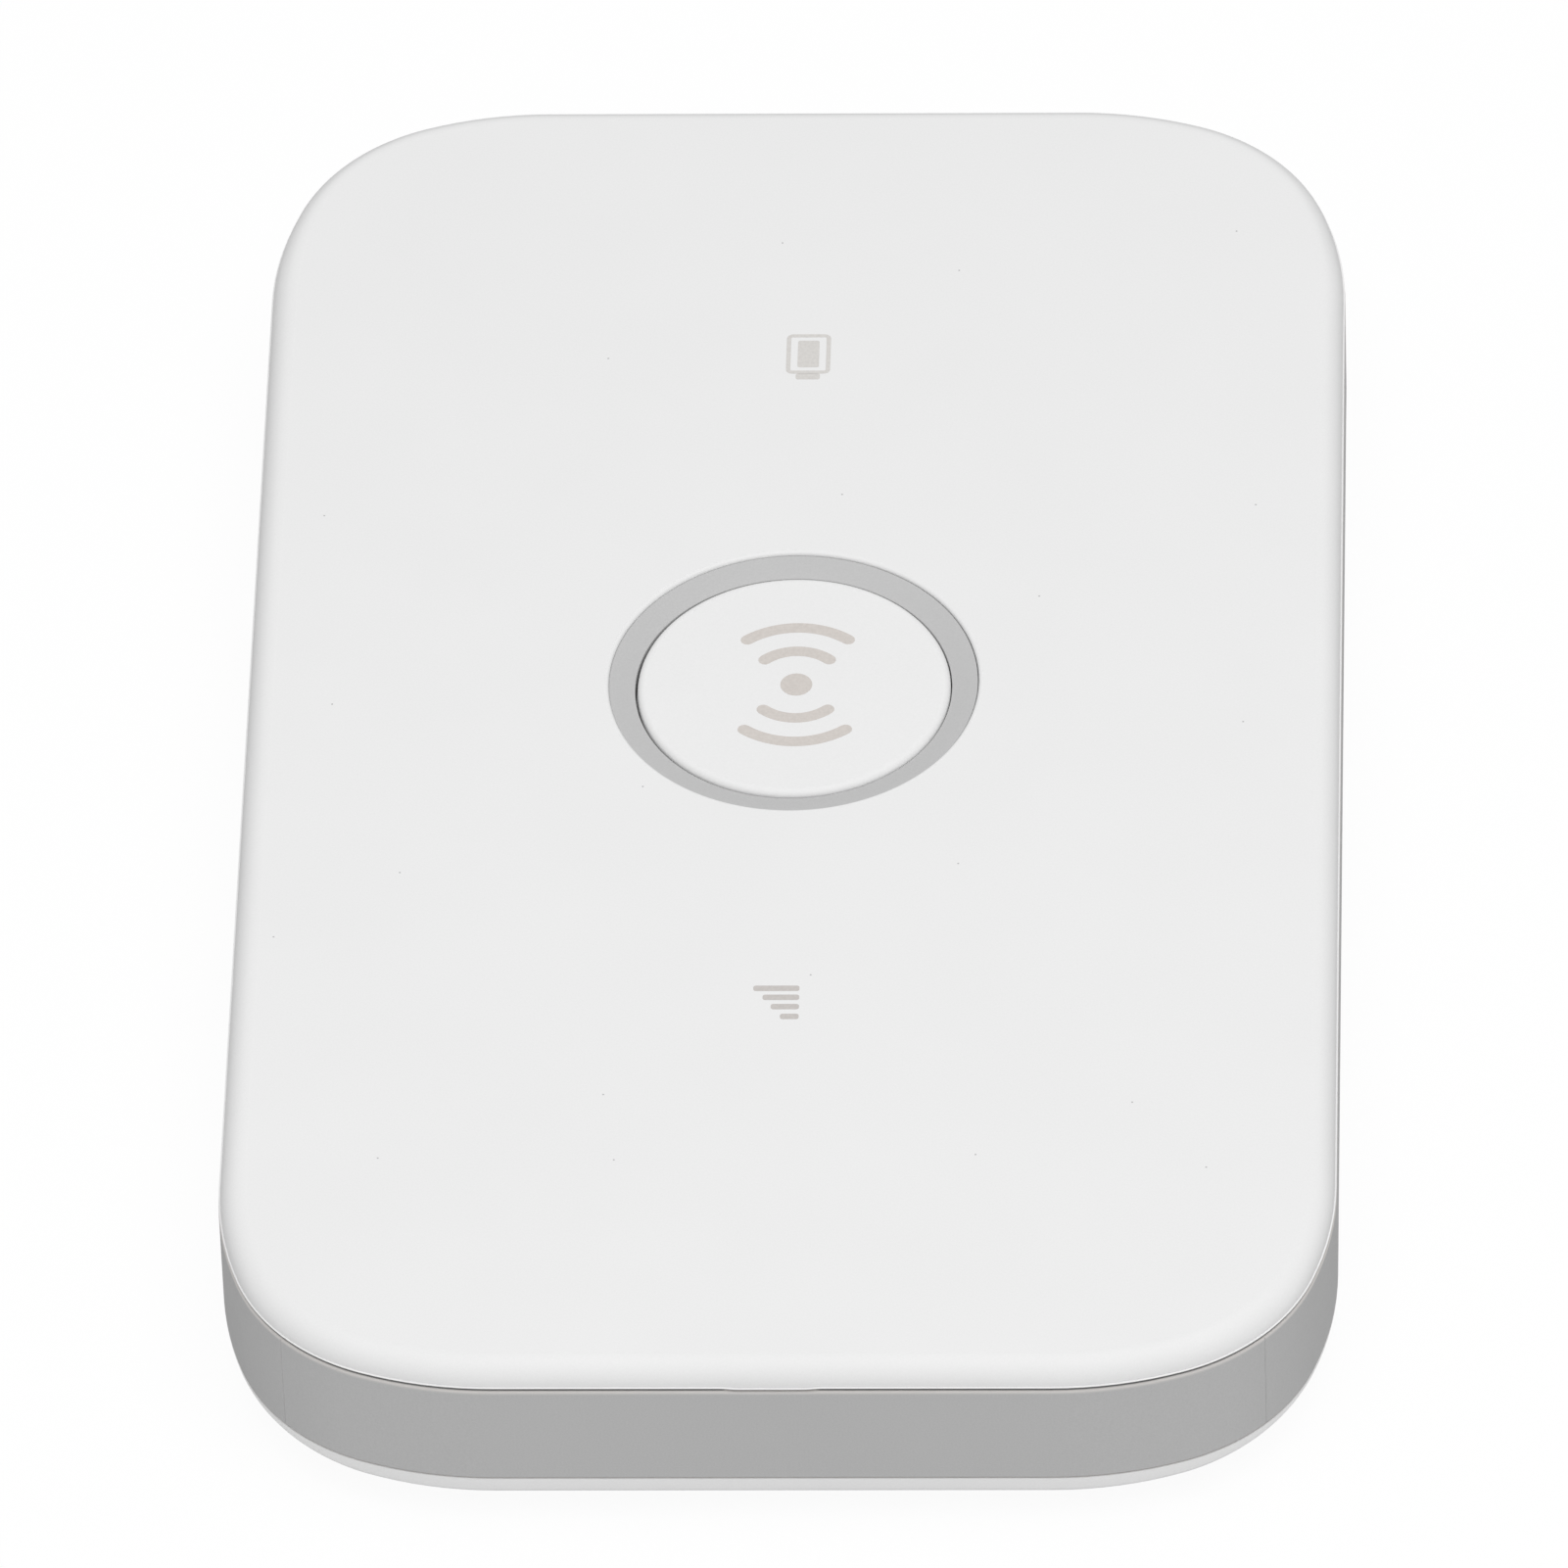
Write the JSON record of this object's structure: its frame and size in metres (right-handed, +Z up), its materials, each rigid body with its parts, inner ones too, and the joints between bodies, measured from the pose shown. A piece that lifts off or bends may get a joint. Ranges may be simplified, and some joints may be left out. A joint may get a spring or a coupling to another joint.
{
  "type": "mobile hotspot",
  "caption": "Slim pocket mobile hotspot with rounded corners: white top and back shells, a silver-grey side band and a round power button set in a recessed ring.",
  "frame": {"origin": "centre of the flat underside of the back cover", "axes": "+Z up through the top face and the power button, +Y along the length towards the end with the charging socket, +X across the width"},
  "size_m": [0.058, 0.0968, 0.011],
  "materials": {
    "white_shell": "fine satin moulded",
    "white_cover": "fine satin moulded",
    "white_button": "smooth satin moulded",
    "silver_band": "fine satin paint",
    "silver_bezel": "fine satin paint",
    "chassis_plastic": "fine spark texture",
    "circuit_board": "solder mask",
    "shield_metal": "tin plated",
    "socket_metal": "stamped and nickel plated",
    "chip_epoxy": "matt moulding compound",
    "socket_plastic": "glass-filled moulded",
    "switch_plunger": "smooth moulded",
    "gold_contact": "gold plated",
    "thermal_silicone": "matt",
    "ceramic_parts": "matt sintered",
    "light_guide": "milky translucent",
    "led_body": "clear cap over phosphor",
    "antenna_film": "laminated film",
    "battery_wrap": "satin wrap",
    "label_film": "coated paper",
    "screw_steel": "nickel plated",
    "printed_ink": "thin screen print"
  },
  "bodies": {
    "back_cover": {"back_cover": "white_cover"},
    "housing": {"antenna_clips": "gold_contact", "battery_contact_block": "socket_plastic", "battery_contact_springs": "gold_contact", "battery_label": "label_film", "battery_led": "led_body", "battery_light_guide": "light_guide", "battery_pack": "battery_wrap", "battery_terminals": "gold_contact", "bezel_ring": "silver_bezel", "board_components": "ceramic_parts", "case_screws": "screw_steel", "chassis": "chassis_plastic", "diversity_antenna": "antenna_film", "main_antenna": "antenna_film", "main_board": "circuit_board", "memory_chip": "chip_epoxy", "power_amplifier_chips": "chip_epoxy", "power_manager_chip": "chip_epoxy", "power_shield": "shield_metal", "power_switch_body": "socket_plastic", "processor_chip": "chip_epoxy", "processor_shield": "shield_metal", "radio_shield": "shield_metal", "radio_test_ports": "gold_contact", "radio_transceiver_chip": "chip_epoxy", "reset_switch_body": "socket_plastic", "side_band": "silver_band", "signal_led": "led_body", "signal_light_guide": "light_guide", "sim_contacts": "gold_contact", "sim_socket_base": "socket_plastic", "sim_socket_frame": "socket_metal", "thermal_pad": "thermal_silicone", "top_shell": "white_shell", "usb_contacts": "gold_contact", "usb_socket_insert": "socket_plastic", "usb_socket_shell": "socket_metal", "wireless_lan_antenna": "antenna_film", "wireless_lan_chip": "chip_epoxy"},
    "power_button": {"power_button": "white_button", "power_switch_plunger": "switch_plunger"},
    "reset_plunger": {"reset_switch_plunger": "switch_plunger"}
  },
  "joints": [
    {"name": "housing_lift", "type": "slide", "parent": "back_cover", "child": "housing", "axis": [0, 0, 1], "range_m": [0, 0.006]},
    {"name": "power_press", "type": "slide", "parent": "housing", "child": "power_button", "axis": [0, 0, -1], "range_m": [0, 0.0003], "stiffness_N_per_m": 2000, "springref_m": -0.0005},
    {"name": "reset_press", "type": "slide", "parent": "housing", "child": "reset_plunger", "axis": [0, 0, 1], "range_m": [0, 0.00025], "stiffness_N_per_m": 2000, "springref_m": -0.0004}
  ]
}
